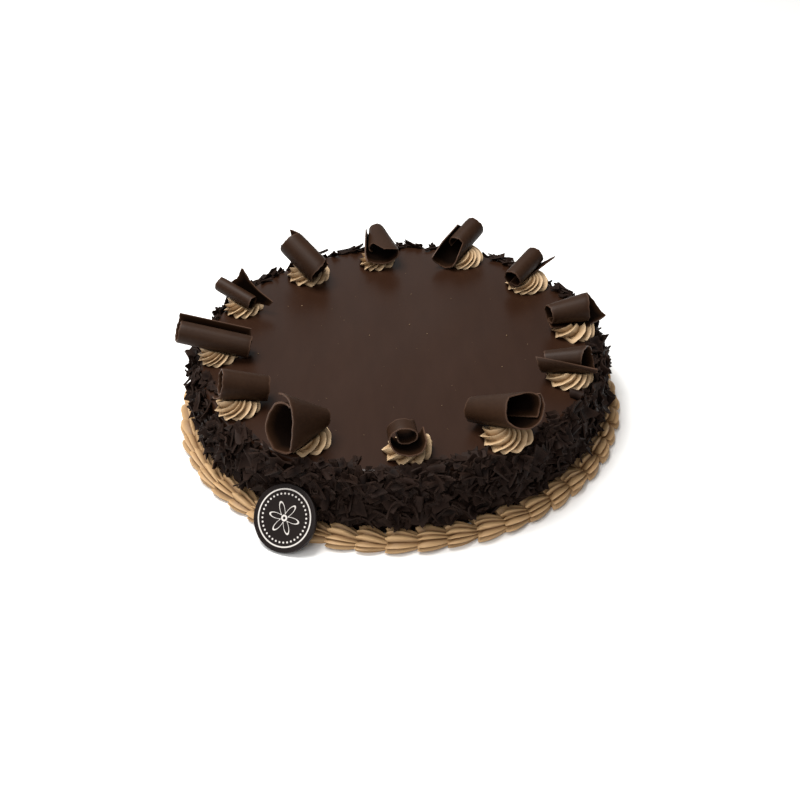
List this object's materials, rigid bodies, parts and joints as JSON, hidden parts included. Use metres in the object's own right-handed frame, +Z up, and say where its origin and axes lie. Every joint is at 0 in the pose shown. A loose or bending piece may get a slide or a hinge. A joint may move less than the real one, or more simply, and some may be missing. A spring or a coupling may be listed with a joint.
{
  "type": "flourless chocolate torte",
  "caption": "Round glazed chocolate torte with shavings round its side, a piped shell border, piped rosettes under chocolate curls, and a chocolate disc leaning on the side.",
  "frame": {"origin": "middle of the torte's flat underside", "axes": "+Z up through the torte's middle; -Y towards the side with the disc, so that the curl at the front is on -Y"},
  "size_m": [0.2775, 0.278, 0.0821],
  "materials": {
    "ganache_and_shavings": "satin",
    "curl_chocolate": "satin",
    "plaque_chocolate": "satin",
    "mocha_cream": "matte",
    "pale_mocha_cream": "matte"
  },
  "bodies": {
    "root": {"torte": "ganache_and_shavings", "shell_border": "mocha_cream", "plaque": "plaque_chocolate", "rosette_01": "pale_mocha_cream", "rosette_02": "pale_mocha_cream", "rosette_03": "pale_mocha_cream", "rosette_04": "pale_mocha_cream", "rosette_05": "pale_mocha_cream", "rosette_06": "pale_mocha_cream", "rosette_07": "pale_mocha_cream", "rosette_08": "pale_mocha_cream", "rosette_09": "pale_mocha_cream", "rosette_10": "pale_mocha_cream", "rosette_11": "pale_mocha_cream", "rosette_12": "pale_mocha_cream", "curl_01": "curl_chocolate", "curl_02": "curl_chocolate", "curl_03": "curl_chocolate", "curl_04": "curl_chocolate", "curl_05": "curl_chocolate", "curl_06": "curl_chocolate", "curl_07": "curl_chocolate", "curl_08": "curl_chocolate", "curl_09": "curl_chocolate", "curl_10": "curl_chocolate", "curl_11": "curl_chocolate", "curl_12": "curl_chocolate"}
  },
  "joints": []
}
